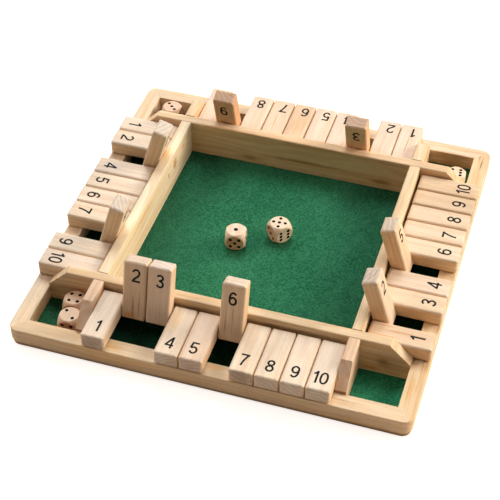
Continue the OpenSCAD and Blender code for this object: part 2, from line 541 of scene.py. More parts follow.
@dataclass(frozen=True)
class PlyFinish:
    """Thin plywood: face veneer below and above, crossed layers at the edge.

    Attributes:
        name: The material slot.
        face: Colour of the face veneer.
        cross: Colour of the crossed layers and of dark veins.
        layers: How many layers the board has.
    """

    VEINS: ClassVar[Pattern] = Pattern((12, 320, 320), 4.0, 0.6)
    FLECKS: ClassVar[Pattern] = Pattern((140, 2200, 2200))

    name: str = "ply"
    face: Colour = (0.62, 0.44, 0.25)
    cross: Colour = (0.40, 0.25, 0.12)
    layers: int = 3

    def dress(self, piece: bpy.types.Object, thickness: float) -> None:
        """Gives a board this finish.

        Args:
            piece: The board's mesh, lying on Z = 0.
            thickness: The board's thickness.
        """
        sheet = NodeSheet(self.name)
        at = sheet.coordinates()
        phase = sheet.math("FRACT", sheet.times(sheet.split(at)[2], self.layers / (2 * thickness)))
        side = sheet.math("SUBTRACT", 1.0, sheet.facing(Vector((0, 0, 1))))
        veins = sheet.noise(at, self.VEINS)
        flecks = sheet.noise(at, self.FLECKS)
        colour = sheet.mix(sheet.times(sheet.remap(phase, 0.45, 0.55), side), self.face, self.cross)
        colour = sheet.mix(sheet.remap(veins, 0.4, 0.7, 0.0, 0.55), colour, self.cross)
        colour = sheet.mix(sheet.remap(flecks, 0.6, 0.72, 0.0, 0.4), colour, self.cross)
        sheet.surface("Base Color", colour)
        sheet.surface("Roughness", sheet.remap(veins, 0.3, 0.7, 0.6, 0.78))
        sheet.bump(veins, 0.0001, 0.6)
        paint(piece, sheet.material)


@dataclass(frozen=True)
class FeltFinish:
    """Pressed wool felt with a short, uneven nap.

    Shade and light are painted into its colour: it is darker under the flaps, towards the tray's
    left and right rails and in three of the pockets, and lighter in the tray's middle and the front
    right pocket.

    Attributes:
        name: The material slot.
        deep: Colour between the tufts.
        main: Colour of the tufts.
        pale: Colour of loose strands.
        row_from: How far out from the middle the tray ends and the rows of flaps start.
        row_tone: Painted shade under the rows: what the colour is multiplied by there.
        pocket_tone: Painted shade in three of the corner pockets: what the colour is multiplied by
            there.
        fresh_tone: Painted light in the front right pocket: what the colour is multiplied by there.
        seed: Shifts the random patterns.
    """

    LIE: ClassVar[Pattern] = Pattern(22.0)
    PATCHES: ClassVar[Pattern] = Pattern(190.0, 3.0, 0.65)
    TUFTS: ClassVar[Pattern] = Pattern(620.0, 4.0, 0.75)
    HAIRS: ClassVar[Pattern] = Pattern((1500, 500, 600), 3.0, 0.7)
    CROSS_HAIRS: ClassVar[Pattern] = Pattern((500, 1600, 600), 3.0, 0.7)

    name: str = "felt"
    deep: Colour = (0.005, 0.066, 0.028)
    main: Colour = (0.030, 0.198, 0.096)
    pale: Colour = (0.085, 0.340, 0.195)
    row_from: float = 0.0996
    row_tone: Colour = (0.45, 0.45, 0.50)
    pocket_tone: Colour = (0.85, 0.72, 0.68)
    fresh_tone: Colour = (1.05, 1.35, 1.40)
    seed: float = 3.1

    def dress(self, piece: bpy.types.Object) -> None:
        """Gives a sheet this felt.

        Args:
            piece: The sheet's mesh.
        """
        sheet = NodeSheet(self.name)
        given = sheet.coordinates()
        at = sheet.vector("ADD", given, (self.seed, self.seed, 0.0))
        lie, patch, tuft, hair, cross = (sheet.noise(at, pattern) for pattern in (
            self.LIE, self.PATCHES, self.TUFTS, self.HAIRS, self.CROSS_HAIRS))
        strands = sheet.math("MAXIMUM", hair, cross)
        colour = sheet.mix(sheet.remap(tuft, 0.36, 0.60), self.deep, self.main)
        colour = sheet.mix(sheet.remap(strands, 0.58, 0.78, 0.0, 0.85), colour, self.pale)
        colour = sheet.mix(sheet.remap(lie, 0.35, 0.68, 0.0, 0.12), colour, self.pale)
        colour = sheet.mix(sheet.remap(patch, 0.42, 0.66, 0.0, 0.28), colour, self.deep)
        sheet.surface("Base Color", sheet.tint(colour, self._shade(sheet, given)))
        sheet.surface("Roughness", sheet.remap(tuft, 0.3, 0.7, 0.88, 1.0))
        for name, value in (("Specular IOR Level", 0.05), ("Sheen Weight", 0.05),
                            ("Sheen Roughness", 0.5)):
            sheet.surface(name, value)
        sheet.bump(sheet.plus(tuft, sheet.times(strands, 0.8)), 0.00035, 0.8)
        paint(piece, sheet.material)

    def _shade(self, sheet: NodeSheet, at: Socket) -> Socket:
        """The felt's painted shade and light, from the tray's lighter middle to the rows and the
        pockets.

        Args:
            sheet: The material being made.
            at: Places on the board.

        Returns:
            What each place's colour is multiplied by.
        """
        right, back, _ = sheet.split(at)
        x, y = (sheet.math("ABSOLUTE", axis) for axis in (right, back))
        outside = sheet.math("GREATER_THAN", sheet.math("MAXIMUM", x, y), self.row_from)
        beside = sheet.math("LESS_THAN", sheet.math("MINIMUM", x, y), self.row_from)
        # Painted shade in three of the pockets and painted light in the front right one.
        lit_pocket = sheet.math("GREATER_THAN", sheet.math("SUBTRACT", right, back), 2 * self.row_from)
        # Painted shade and light: lighter in the tray's middle, darker towards its rails, most
        # towards the left and right ones.
        worn = sheet.grey(sheet.remap(sheet.plus(x, sheet.times(y, 0.2)), 0.045, 0.100, 1.12, 0.72))
        beyond = sheet.mix(lit_pocket, self.pocket_tone, self.fresh_tone)
        # The felt under the rows gets painted shade.
        return sheet.mix(outside, worn, sheet.mix(beside, beyond, self.row_tone))


@dataclass(frozen=True)
class SteelFinish:
    """Drawn steel rod with fine scratches.

    Attributes:
        name: The material slot.
        tone: Colour of the clean steel.
        dull: Colour of its smears.
    """

    SMEARS: ClassVar[Pattern] = Pattern(160.0, 3.0, 0.6)
    SCRATCHES: ClassVar[Pattern] = Pattern(2400.0, 2.0, 0.6)

    name: str = "steel"
    tone: Colour = (0.62, 0.61, 0.59)
    dull: Colour = (0.42, 0.40, 0.37)

    def dress(self, piece: bpy.types.Object) -> None:
        """Gives a piece this steel.

        Args:
            piece: The mesh to dress.
        """
        sheet = NodeSheet(self.name)
        at = sheet.coordinates()
        smear = sheet.noise(at, self.SMEARS)
        sheet.surface("Base Color", sheet.mix(sheet.remap(smear, 0.45, 0.75, 0.0, 0.5), self.tone,
                                              self.dull))
        sheet.surface("Metallic", 1.0)
        sheet.surface("Roughness", sheet.remap(smear, 0.3, 0.7, 0.2, 0.38))
        sheet.bump(sheet.noise(at, self.SCRATCHES), 0.00002, 0.5)
        paint(piece, sheet.material)


@dataclass(frozen=True)
class InkFinish:
    """Black ink or paint on wood, a little broken by the fibres under it.

    Attributes:
        name: The material's name.
        tone: Its colour where it is full.
        thin: Its colour where the wood shows through.
        roughness: Mean roughness.
        gloss: How strongly it reflects.
    """

    WORN: ClassVar[Pattern] = Pattern(1500.0, 3.0, 0.65)
    CLOUDS: ClassVar[Pattern] = Pattern(260.0)

    name: str
    tone: Colour = (0.010, 0.009, 0.009)
    thin: Colour = (0.050, 0.038, 0.030)
    roughness: float = 0.5
    gloss: float = 0.08

    def material(self) -> bpy.types.Material:
        """Makes the ink's material once, for every numeral or pip that has it.

        Returns:
            The material.
        """
        sheet = NodeSheet(self.name)
        at = sheet.coordinates()
        worn = sheet.noise(at, self.WORN)
        sheet.surface("Base Color", sheet.mix(sheet.remap(worn, 0.55, 0.75, 0.0, 0.8), self.tone,
                                              self.thin))
        sheet.surface("Roughness", sheet.remap(sheet.noise(at, self.CLOUDS), 0.3, 0.7,
                                               self.roughness - 0.08, self.roughness + 0.1))
        sheet.surface("Specular IOR Level", self.gloss)
        sheet.bump(worn, 0.00002, 0.5)
        return sheet.material


def paint(piece: bpy.types.Object, material: bpy.types.Material) -> None:
    """Makes a material the only one of a piece."""
    piece.data.materials.clear()
    piece.data.materials.append(material)


FLAP_WOOD = WoodFinish("flap_wood", early=(0.96, 0.80, 0.635), late=(0.76, 0.53, 0.345),
                       end_tone=(0.84, 0.90, 1.00), side_tone=(0.98, 0.92, 0.82),
                       ring_pitch=0.0036, ring_strength=0.26, wander=0.0035, honey_strength=0.18)
RAIL_WOOD = WoodFinish("rail_wood", early=(0.93, 0.74, 0.50), late=(0.72, 0.45, 0.23),
                       end_tone=(0.57, 0.46, 0.44), ring_pitch=0.0062, ring_strength=0.40,
                       wander=0.012, streak_strength=0.5, honey_strength=0.4)
FRAME_WOOD = WoodFinish("frame_wood", early=(0.92, 0.74, 0.53), late=(0.74, 0.49, 0.26),
                        end_tone=(0.72, 0.63, 0.56), ring_pitch=0.0060, ring_strength=0.32,
                        wander=0.013, honey_strength=0.6)
DICE_WOOD = WoodFinish("dice_wood", early=(0.95, 0.765, 0.59), late=(0.78, 0.50, 0.33),
                       end_tone=(0.80, 0.62, 0.56), ring_pitch=0.0026, ring_strength=0.25,
                       wander=0.003, honey_strength=0.2, roughness=0.42)
PIP_PAINT = InkFinish("pip_paint", tone=(0.006, 0.005, 0.005), roughness=0.4, gloss=0.06)


# ---------------------------------------------------------------- meshes


def add_mesh(name: str, points: Sequence, faces: Sequence, material: bpy.types.Material | None,
             smooth: bool = False) -> bpy.types.Object:
    """Makes an object from points and faces.

    Args:
        name: The object's name.
        points: Its points in the board's frame.
        faces: Its faces, as numbers of points.
        material: Its material, or None if it is dressed later.
        smooth: Whether its faces are shaded smooth.

    Returns:
        The new object, linked to the scene.
    """
    mesh = bpy.data.meshes.new(name)
    mesh.from_pydata([tuple(p) for p in points], [], [tuple(int(i) for i in f) for f in faces])
    mesh.validate()
    if smooth:
        mesh.shade_smooth()
    if material:
        mesh.materials.append(material)
    piece = bpy.data.objects.new(name, mesh)
    bpy.context.scene.collection.objects.link(piece)
    return piece


def arc(middle: Point2, radii: Point2, start: float, end: float, square: float = 2.0,
        steps: int = 18) -> list[Point2]:
    """Points along part of an oval.

    Args:
        middle: The oval's middle.
        radii: Its half width and half height.
        start: Angle of the first point, in degrees from +X.
        end: Angle of the last point.
        square: 2 for an ellipse, more for a squarer oval.
        steps: How many stretches the arc has.

    Returns:
        The points in order.
    """
    points = []
    for i in range(steps + 1):
        angle = math.radians(start + (end - start) * i / steps)
        c, s = math.cos(angle), math.sin(angle)
        grow = (abs(c) ** square + abs(s) ** square) ** (-1 / square)
        points.append((middle[0] + radii[0] * grow * c, middle[1] + radii[1] * grow * s))
    return points


def bezier(a: Point2, b: Point2, c: Point2, d: Point2, steps: int = 10) -> list[Point2]:
    """Points along a bent stroke.

    Args:
        a: Where it starts.
        b: What pulls on its first half.
        c: What pulls on its second half.
        d: Where it ends.
        steps: How many stretches it has.

    Returns:
        The points in order.
    """
    points = []
    for i in range(steps + 1):
        t = i / steps
        weights = ((1 - t) ** 3, 3 * t * (1 - t) ** 2, 3 * t * t * (1 - t), t ** 3)
        points.append(tuple(sum(w * p[k] for w, p in zip(weights, (a, b, c, d))) for k in (0, 1)))
    return points


@dataclass
class NumeralStamp:
    """Plain upright numerals, each a thin closed plate of ink.

    A numeral is drawn as strokes of one width in a box one unit high.

    Attributes:
        height: Height of a numeral.
        stroke: Width of a stroke, as a share of the height.
        wide: Width of a numeral, as a share of the height.
        narrow: Width of a one, as a share of the height.
        letter_gap: Gap between the two numerals of a ten, as a share of the height.
        proud: How far the ink stands off the wood.
        sunk: How far it reaches into the wood.
    """

    height: float = 0.0113
    stroke: float = 0.139
    wide: float = 0.57
    narrow: float = 0.30
    letter_gap: float = 0.12
    proud: float = 0.00003
    sunk: float = 0.00004
    _plates: dict[str, Shape] = field(default_factory=dict)

    def plate(self, text: str) -> Shape:
        """Cuts the plate of a number.

        Args:
            text: The number's digits.

        Returns:
            The plate's points round its middle, in metres, ink outwards at +Z, and its faces.
        """
        if text not in self._plates:
            self._plates[text] = self._cut(text)
        return self._plates[text]

    def _cut(self, text: str) -> Shape:
        """Joins the strokes of a number into one outline and gives it thickness.

        Args:
            text: The number's digits.

        Returns:
            The points and faces of its plate.
        """
        ribbons: list[list[Point2]] = []
        left = 0.0
        for digit in text:
            width = self.narrow if digit == "1" else self.wide
            for path in self._paths(digit):
                ribbons.append([(x + left, y) for x, y in path])
            left += width + self.letter_gap
        middle = ((left - self.letter_gap) / 2, 0.5)
        points, quads = self._ribbon_quads(ribbons)
        flat, _, cells, _, _, owners = delaunay_2d_cdt(points, [], quads, 0, 1e-5)
        kept = [cell for cell, owner in zip(cells, owners) if owner]
        used = sorted({i for cell in kept for i in cell})
        number = {old: new for new, old in enumerate(used)}
        count = len(used)
        shaped = [((flat[i][0] - middle[0]) * self.height, (flat[i][1] - middle[1]) * self.height)
                  for i in used]
        solid = [Vector((x, y, self.proud)) for x, y in shaped]
        solid += [Vector((x, y, -self.sunk)) for x, y in shaped]
        faces = [[number[i] for i in cell] for cell in kept]
        edges = {(f[k], f[(k + 1) % len(f)]) for f in faces for k in range(len(f))}
        rim = [(a, b) for a, b in edges if (b, a) not in edges]
        faces += [[i + count for i in reversed(f)] for f in faces]
        faces += [[b, a, a + count, b + count] for a, b in sorted(rim)]
        return solid, faces

    def _ribbon_quads(self, paths: Iterable[list[Point2]]) -> Shape:
        """Widens centre lines into rows of four-sided cells.

        Args:
            paths: The centre lines. One that ends where it starts is closed.

        Returns:
            The points and cells, in a box one unit high.
        """
        points: list[Vector] = []
        quads: list[list[int]] = []
        half = self.stroke / 2
        for path in paths:
            line = [Vector(p) for p in path]
            closed = (line[0] - line[-1]).length < 1e-6
            if closed:
                line = line[:-1]
            count, base = len(line), len(points)
            for i, p in enumerate(line):
                before = line[i - 1] if i or closed else None
                after = line[(i + 1) % count] if i < count - 1 or closed else None
                ways = [w.normalized() for w in (p - before if before else None,
                                                 after - p if after else None) if w]
                way = sum(ways, Vector((0, 0))).normalized()
                side = Vector((-way.y, way.x)) * half / max(way.dot(ways[0]), 0.5)
                points += [p + side, p - side]
            for i in range(count if closed else count - 1):
                j = (i + 1) % count
                quads.append([base + 2 * i, base + 2 * i + 1, base + 2 * j + 1, base + 2 * j])
        return points, quads

    def _paths(self, digit: str) -> list[list[Point2]]:
        """Centre lines of a digit's strokes, in a box one unit high.

        Args:
            digit: The digit.

        Returns:
            One list of points for each stroke.
        """
        s, w = self.stroke / 2, self.wide
        top, mid = 1 - s, w / 2
        if digit == "0":
            return [arc((mid, 0.5), (mid - s, 0.5 - s), 0, 360, 2.25, 40)]
        if digit == "1":
            stem = self.narrow - s
            flag = bezier((0.0, 0.745), (0.1, 0.79), (0.19, 0.86), (stem, 0.99))
            return [[(stem, 0), (stem, 1)], flag]
        if digit == "2":
            turn = arc((mid, 0.70), (mid - s, 0.30 - s), 172, -30)
            tail = bezier(turn[-1], (w - 0.10, 0.44), (0.12, 0.30), (s + 0.01, s))
            return [turn + tail[1:], [(0.0, s), (w, s)]]
        if digit == "3":
            upper = arc((mid - 0.01, 0.745), (mid - s - 0.02, 0.255 - s), 160, -90)
            lower = arc((mid - 0.01, 0.285), (mid - s, 0.285 - s), 90, -162)
            return [upper, lower, [(0.19, 0.533), (0.30, 0.533)]]
        if digit == "4":
            stem = w - 0.155
            slope = [(0.035, 0.26), (stem - 0.005, 0.965)]
            return [[(stem, 0), (stem, 1)], [(0, 0.275), (w, 0.275)], slope]
        if digit == "5":
            bowl = arc((mid - 0.005, 0.325), (mid - s, 0.325 - s), 148, -160)
            return [bowl, [(0.105, top), (w - 0.04, top)], [(0.125, top + s), (0.065, 0.47)]]
        if digit == "6":
            return self._six()
        if digit == "7":
            leg = bezier((w - s, top), (0.36, 0.72), (0.22, 0.36), (0.19, 0))
            return [[(0, top), (w, top)], leg]
        if digit == "8":
            upper = arc((mid, 0.745), (mid - s - 0.025, 0.255 - s), 0, 360, 2.0, 32)
            lower = arc((mid, 0.285), (mid - s, 0.285 - s), 0, 360, 2.0, 36)
            return [upper, lower]
        return [[(w - x, 1 - y) for x, y in path] for path in self._six()]

    def _six(self) -> list[list[Point2]]:
        """Centre lines of a six, which turned round is a nine.

        Returns:
            Its bowl and its back.
        """
        s, mid = self.stroke / 2, self.wide / 2
        bowl = arc((mid, 0.325), (mid - s, 0.325 - s), 0, 360, 2.0, 36)
        back = arc((mid + 0.015, 0.52), (mid - s + 0.015, 0.48 - s), 42, 190, 2.1, 24)
        return [bowl, back]


def gather(parts: Iterable[tuple[Matrix, Shape]]) -> Shape:
    """Joins shapes into one, each set in its place.

    Args:
        parts: The place and the shape of each.

    Returns:
        The points and faces of them all.
    """
    points: list[Vector] = []
    faces: list[list[int]] = []
    for place, (shape, cells) in parts:
        base = len(points)
        points += [place @ p for p in shape]
        faces += [[base + i for i in cell] for cell in cells]
    return points, faces


# ---------------------------------------------------------------- sub-assemblies


def board_seed(name: str) -> float:
    """A number from 0 to 10 that a piece's name always gives."""
    return random.Random(name).uniform(0.0, 10.0)


def shade_of(name: str, spread: float) -> Colour:
    """How a piece's wood differs from the rest: a little lighter or darker, yellower or pinker.

    Args:
        name: The piece's name, which always gives the same shade.
        spread: The largest difference, as a share of the colour.

    Returns:
        What the wood's colour is multiplied by.
    """
    chance = random.Random(f"{name} shade")
    light = 1 + chance.uniform(-spread, 0.5 * spread)
    warm = chance.uniform(-spread, spread)
    return light, light * (1 - 0.3 * abs(warm)), light * (1 + warm)


def blend(*tones: Colour) -> Colour:
    """Multiplies tones with each other."""
    return tuple(math.prod(shade) for shade in zip(*tones))


@dataclass(frozen=True)
class FlapLook:
    """What sets one flap apart from the others of its row.

    Attributes:
        nudge: How far its numerals were stamped off their place, to the right and outwards.
        tone: What its wood's colour is multiplied by.
        marks: Streaks, blotches and patches of painted shade on its wood. X runs from the outer end
            to
        the rod, Y to the left as seen from outside, and Z to the upper face.
    """

    nudge: Point2 = (0.0, 0.0)
    tone: Colour = PLAIN
    marks: tuple[Mark, ...] = ()


@dataclass
class FlapRow:
    """Ten flaps along one side of the board, with a numeral on both faces of each.

    Attributes:
        side: The side that the row is on.
        stamp: Shapes of the numerals.
        ink: Material of the numerals.
        looks: Flaps that differ from the rest, by number.
        tone: What the row's wood is multiplied by.
        nudge: How far the row's numerals were stamped off their place, to the right and outwards.
        numeral_y: Middle of a numeral, from the rod towards the outer end.
        heart_across: How far to the side of a flap the tree's heart may lie.
        heart_up: How far above its middle it may lie.
        spread: Largest difference of a flap's wood from the row's, as a share of the colour.
    """

    side: Side
    stamp: NumeralStamp
    ink: bpy.types.Material
    looks: dict[int, FlapLook] = field(default_factory=dict)
    tone: Colour = PLAIN
    nudge: Point2 = (0.0, 0.0)
    numeral_y: float = -0.0299
    heart_across: Point2 = (-0.03, 0.03)
    heart_up: Point2 = (0.012, 0.07)
    spread: float = 0.03

    def build(self) -> None:
        """Stamps the numerals of the whole row."""
        for number in range(1, SIZES.flaps + 1):
            name = f"{self.side.label}_flap_{number}"
            place = SIZES.flap_place(self.side, number)
            plate = self.stamp.plate(str(number))
            nudge = self._look(number).nudge
            both = gather((place @ self._on_face(face, nudge), plate) for face in Face)
            numeral = add_mesh(f"{name}_number", *both, self.ink)
            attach(numeral, name)

    def dress(self) -> None:
        """Gives every flap its own cut of wood."""
        half = (SIZES.flap_len / 2, SIZES.flap_w / 2, SIZES.flap_t / 2)
        middle = Matrix.Translation((0, SIZES.pivot_inset - SIZES.flap_len / 2,
                                     SIZES.flap_t / 2 - SIZES.pivot_up))
        lengthwise = Matrix.Rotation(math.radians(90), 4, "Z")
        for number in range(1, SIZES.flaps + 1):
            name = f"{self.side.label}_flap_{number}"
            chance = random.Random(name)
            heart = (chance.uniform(*self.heart_across), chance.uniform(*self.heart_up))
            look = self._look(number)
            tone = blend(shade_of(name, self.spread), self.tone, look.tone)
            grain = Grain(SIZES.flap_place(self.side, number) @ middle @ lengthwise, heart,
                          board_seed(name), tone, half, look.marks)
            FLAP_WOOD.dress(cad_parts[name], grain)

    def _look(self, number: int) -> FlapLook:
        """What is special about a flap."""
        return self.looks.get(number, FlapLook())

    def _on_face(self, face: Face, nudge: Point2) -> Matrix:
        """Where a numeral lies in the flap's frame.

        Args:
            face: The face that it is on.
            nudge: How far it was stamped off its place, to the right and outwards.

        Returns:
            Its matrix: its top is to the board's middle while the flap lies, and upright as seen
            from outside while it stands.
        """
        x = self.nudge[0] + nudge[0]
        y = self.numeral_y - self.nudge[1] - nudge[1]
        if face is Face.UPPER:
            return Matrix.Translation((x, y, SIZES.flap_t - SIZES.pivot_up))
        turned = Matrix.Rotation(math.radians(180), 4, "X")
        return Matrix.Translation((x, y, -SIZES.pivot_up)) @ turned


@dataclass
class WoodenTray:
    """Outer frame, inner rails, pocket dividers and the board under them.

    Attributes:
        frame_depth: Furthest that the tree's heart lies from the middle of a frame rail.
        rail_depth: The same for an inner rail or a divider.
        heart_nearest: Nearest that the heart lies, as a share of the furthest.
        heart_across: How far to the side it may lie.
        spread: Largest difference of a piece's wood from the rest, as a share of the colour.
        tones: What the wood of some pieces is multiplied by.
        marks: Streaks, blotches and patches of painted shade of some pieces. X runs along the piece,
        to the right as seen from outside, Y to the board's middle and Z up, from the middle of the
        piece.
    """

    frame_depth: float = 0.060
    rail_depth: float = 0.045
    heart_nearest: float = 0.4
    heart_across: Point2 = (-0.02, 0.02)
    spread: float = 0.02
    tones: dict[str, Colour] = field(default_factory=dict)
    marks: dict[str, tuple[Mark, ...]] = field(default_factory=dict)

    def dress(self) -> None:
        """Gives every fixed wooden piece its own cut of wood."""
        for side in Side:
            self._dress(FRAME_WOOD, f"frame_{side.label}", side, self.frame_depth)
            self._dress(RAIL_WOOD, f"rail_{side.label}", side, self.rail_depth)
        for name in ("front_dividers", "back_dividers"):
            self._dress(RAIL_WOOD, name, Side.RIGHT, self.rail_depth)
        PlyFinish().dress(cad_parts["base_board"], SIZES.base_t)

    def _dress(self, wood: WoodFinish, name: str, side: Side, depth: float) -> None:
        """Gives one piece its wood, cut lengthwise as a rail of that side is."""
        wood.dress(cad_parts[name], self._cut(name, side.turn, depth))

    def _cut(self, name: str, turn: Matrix, depth: float) -> Grain:
        """How a long piece was cut: grain along it, the tree's heart below or beside it.

        Args:
            name: The piece's node.
            turn: Turn that brings X along the piece.
            depth: Furthest that the tree's heart lies from its middle.

        Returns:
            Its cut.
        """
        chance = random.Random(name)
        middle = sum(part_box(name), Vector()) / 2
        heart = (chance.uniform(*self.heart_across),
                 chance.choice((-1, 1)) * chance.uniform(self.heart_nearest, 1) * depth)
        tone = blend(shade_of(name, self.spread), self.tones.get(name, PLAIN))
        return Grain(Matrix.Translation(middle) @ turn, heart, board_seed(name), tone,
                     marks=self.marks.get(name, ()))


@dataclass
class FeltFloor:
    """The felt over the whole floor, with its nap as fine relief.

    Attributes:
        step: Size of the relief's cells.
        nap: Depth of the relief.
        hollows: Widths of its hollows, in cells, and the weight of each.
        seed: Seed of the hollows.
    """

    step: float = 0.001
    nap: float = 0.00018
    hollows: tuple[tuple[int, float], ...] = ((9, 0.3), (4, 0.4), (2, 0.3))
    seed: int = 11

    def build(self) -> bpy.types.Object:
        """Makes the sheet.

        Returns:
            The sheet, which stands for the plain one of the model.
        """
        half = SIZES.floor_half
        count = round(2 * half / self.step) + 1
        line = np.linspace(-half, half, count)
        x, y = np.meshgrid(line, line, indexing="xy")
        height = SIZES.felt_high - self.nap * self._relief(count)
        top = np.stack([x, y, height], axis=-1).reshape(-1, 3)
        index = np.arange(count * count).reshape(count, count)
        cells = np.stack([index[:-1, :-1], index[:-1, 1:], index[1:, 1:], index[1:, :-1]], axis=-1)
        rim = np.concatenate([index[0, :-1], index[:-1, -1], index[-1, :0:-1], index[:0:-1, 0]])
        low = top[rim].copy()
        low[:, 2] = SIZES.felt_low
        under = np.arange(len(rim)) + len(top)
        after = np.roll(np.arange(len(rim)), -1)
        walls = np.stack([under, under[after], rim[after], rim], axis=-1)
        faces = [*cells.reshape(-1, 4).tolist(), *walls.tolist(), under[::-1].tolist()]
        felt = add_mesh("felt_floor", np.concatenate([top, low]).tolist(), faces, None)
        for polygon in felt.data.polygons[:(count - 1) ** 2]:
            polygon.use_smooth = True
        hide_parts("felt_sheet")
        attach(felt, BOARD)
        FeltFinish().dress(felt)
        return felt

    def _relief(self, count: int) -> np.ndarray:
        """Random hollows of several widths on a square grid.

        Args:
            count: How many points a side of the grid has.

        Returns:
            The depth at each point, from 0 to 1.
        """
        chance = np.random.default_rng(self.seed)
        total = np.zeros((count, count))
        for cell, weight in self.hollows:
            coarse = chance.random((count // cell + 2, count // cell + 2))
            place = np.arange(count) / cell
            low = place.astype(int)
            part = place - low
            part = part * part * (3 - 2 * part)
            rows = coarse[low] * (1 - part)[:, None] + coarse[low + 1] * part[:, None]
            total += weight * (rows[:, low] * (1 - part) + rows[:, low + 1] * part)
        return total


@dataclass(frozen=True)
class DiePlace:
    """How a die lies and how it was cut.

    Attributes:
        name: Its node.
        roll: The roll that brings its upper face up, in degrees.
        turn: Its turn as seen from above, in degrees.
        grain: Direction of its grain from its own X as it lies, in degrees.
        tone: What its wood's colour is multiplied by.
    """

    name: str
    roll: Point3
    turn: float
    grain: float = 0.0
    tone: Colour = PLAIN


@dataclass
class DiceSet:
    """The wooden dice and the black paint in their pips.

    Attributes:
        pitch: Distance of the outer pips from the middle of a face.
        pip_r: Radius of a pip.
        one_r: Radius of the single pip on the one.
        depth: Depth of a pip's hollow.
        proud: How far the paint lies above the hollow's surface.
        smear: How far the paint runs over the hollow's rim.
        smear_share: How far it lies above the wood there, as a share of the rest.
        heart_across: How far to the side of a die the tree's heart may lie.
        heart_up: How far above its middle it may lie.
        dice: How each die lies.
        patterns: Places of the pips on the faces one to six, in steps of the pitch.
    """

    pitch: float = 0.0034
    pip_r: float = 0.0013
    one_r: float = 0.0017
    depth: float = 0.0005
    proud: float = 0.00004
    smear: float = 0.00006
    smear_share: float = 0.35
    heart_across: Point2 = (-0.01, 0.01)
    heart_up: Point2 = (0.01, 0.03)
    dice: tuple[DiePlace, ...] = (
        DiePlace("die_tray_left", (0, 0, 180), 9.6, 90.0),
        DiePlace("die_tray_right", (90, 0, 180), 48),
        # The darker tones of the dice in the pockets are partly their wood's colour and partly
        # painted shade.
        DiePlace("die_front_left_inner", (0, 90, 0), 3.5, 90.0, (0.90, 0.80, 0.74)),
        DiePlace("die_front_left_outer", (-90, 0, 0), 3.2, 90.0, (0.95, 0.87, 0.82)),
        DiePlace("die_back_left", (0, -90, 0), 2.3, 0.0, (0.92, 0.83, 0.79)),
        DiePlace("die_back_right", (0, 180, 0), 6, 0.0, (0.98, 0.93, 0.88)),
    )
    patterns: tuple[tuple[Point2, ...], ...] = (
        ((0, 0),),
        ((-1, 1), (1, -1)),
        ((-1, -1), (0, 0), (1, 1)),
        ((-1, -1), (-1, 1), (1, -1), (1, 1)),
        ((-1, -1), (-1, 1), (1, -1), (1, 1), (0, 0)),
        ((-1, -1), (-1, 0), (-1, 1), (1, -1), (1, 0), (1, 1)),
    )

    def build(self) -> None:
        """Paints the pips of every die."""
        black = PIP_PAINT.material()
        for die in self.dice:
            place = self._place(die)
            dabs: list[tuple[Matrix, Shape]] = []
            for pattern, turned in zip(self.patterns, self._face_turns()):
                dab = self._dab(self.one_r if len(pattern) == 1 else self.pip_r)
                for x, y in pattern:
                    shift = Matrix.Translation((x * self.pitch, y * self.pitch, SIZES.die_w / 2))
                    dabs.append((place @ turned @ shift, dab))
            pips = add_mesh(f"{die.name}_pips", *gather(dabs), black, smooth=True)
            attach(pips, die.name)

    def dress(self) -> None:
        """Gives every die its own cut of wood."""
        for die in self.dice:
            chance = random.Random(die.name)
            heart = (chance.uniform(*self.heart_across), chance.uniform(*self.heart_up))
            turn = Matrix.Rotation(math.radians(die.turn + die.grain), 4, "Z")
            grain = Grain(Matrix.Translation(self._middle(die)) @ turn, heart, board_seed(die.name),
                          die.tone)
            DICE_WOOD.dress(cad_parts[die.name], grain)

    def _dab(self, radius: float, rings: int = 4, spokes: int = 24) -> Shape:
        """A closed dab of paint that lines a ball-shaped hollow, with one ring more for its smear.

        Args:
            radius: Radius of the hollow at the face.
            rings: Rings of cells from the middle to the hollow's rim.
            spokes: Cells round each ring.

        Returns:
            Its points, with the face of the die at Z = 0, and its faces.
        """
        ball = (radius ** 2 + self.depth ** 2) / (2 * self.depth)
        reaches = [radius * ring / rings for ring in range(1, rings + 1)]
        profile = [(r, ball - self.depth - math.sqrt(ball ** 2 - r ** 2), 1.0) for r in reaches]
        profile.append((radius + self.smear, 0.0, self.smear_share))
        points: list[Vector] = []
        for offset in (self.proud, -self.proud):
            points.append(Vector((0, 0, -self.depth + offset)))
            for r, z, share in profile:
                points += [Vector((r * math.cos(a), r * math.sin(a), z + share * offset))
                           for a in (2 * math.pi * k / spokes for k in range(spokes))]
        half = 1 + len(profile) * spokes
        faces = []
        for k in range(spokes):
            n = (k + 1) % spokes
            faces += [[0, 1 + k, 1 + n], [half, half + 1 + n, half + 1 + k]]
            for ring in range(rings):
                a, b = 1 + ring * spokes, 1 + (ring + 1) * spokes
                faces.append([a + k, b + k, b + n, a + n])
                faces.append([half + a + n, half + b + n, half + b + k, half + a + k])
            rim = 1 + rings * spokes
            faces.append([rim + k, half + rim + k, half + rim + n, rim + n])
        return points, faces

    def _place(self, die: DiePlace) -> Matrix:
        """Where a die lies.

        Args:
            die: The die.

        Returns:
            The matrix from its own frame, one pip up, to the board's.
        """
        roll = Euler([math.radians(a) for a in die.roll], "XYZ").to_matrix().to_4x4()
        turn = Matrix.Rotation(math.radians(die.turn), 4, "Z")
        return Matrix.Translation(self._middle(die)) @ turn @ roll

    @staticmethod
    def _middle(die: DiePlace) -> Vector:
        """The middle of a die."""
        return sum(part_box(die.name), Vector()) / 2

